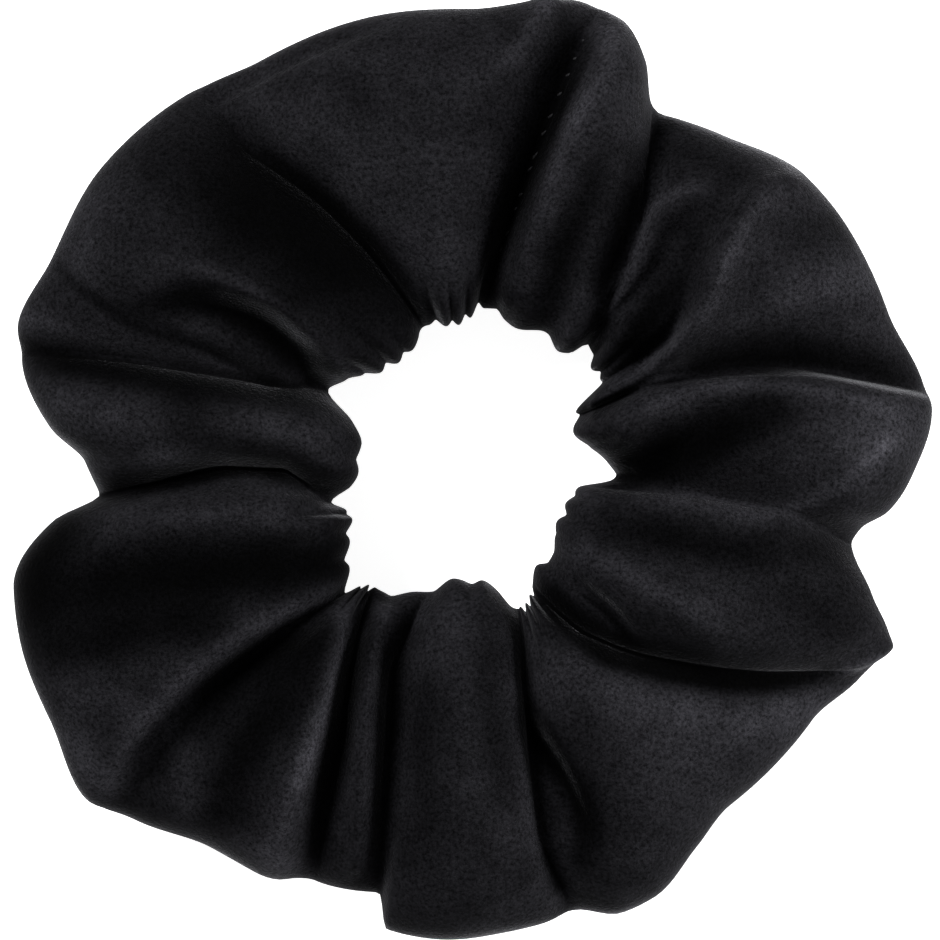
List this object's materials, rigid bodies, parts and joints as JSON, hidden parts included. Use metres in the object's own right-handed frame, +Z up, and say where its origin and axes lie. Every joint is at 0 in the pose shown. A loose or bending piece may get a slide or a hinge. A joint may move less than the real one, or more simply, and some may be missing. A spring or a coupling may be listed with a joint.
{
  "type": "scrunchie",
  "caption": "Gathered velvet hair tie: a cloth tube bunched on a loop of flat elastic, with a round hair opening that stretches.",
  "frame": {"origin": "middle of the ring's outline, on the surface that it lies on", "axes": "+Z up through the hair opening, +X from the left half to the right half, +Y to the closing seam at the top"},
  "size_m": [0.1103, 0.1114, 0.027],
  "materials": {
    "velvet": "short-pile velvet",
    "velvet_back": "knit backing",
    "elastic": "braided",
    "thread": "spun thread"
  },
  "bodies": {
    "left_half": {"cover_left": "velvet", "seam_allowance_left": "velvet_back", "seam_stitches_left": "thread", "elastic_left": "elastic", "elastic_lap": "elastic", "elastic_bartack": "thread"},
    "right_half": {"cover_right": "velvet", "seam_allowance_right": "velvet_back", "seam_stitches_right": "thread", "elastic_right": "elastic", "closing_tuck": "velvet_back", "closing_stitches": "thread"}
  },
  "joints": [
    {"name": "stretch", "type": "slide", "parent": "left_half", "child": "right_half", "axis": [1, 0, 0], "range_m": [0, 0.08], "stiffness_N_per_m": 120}
  ]
}
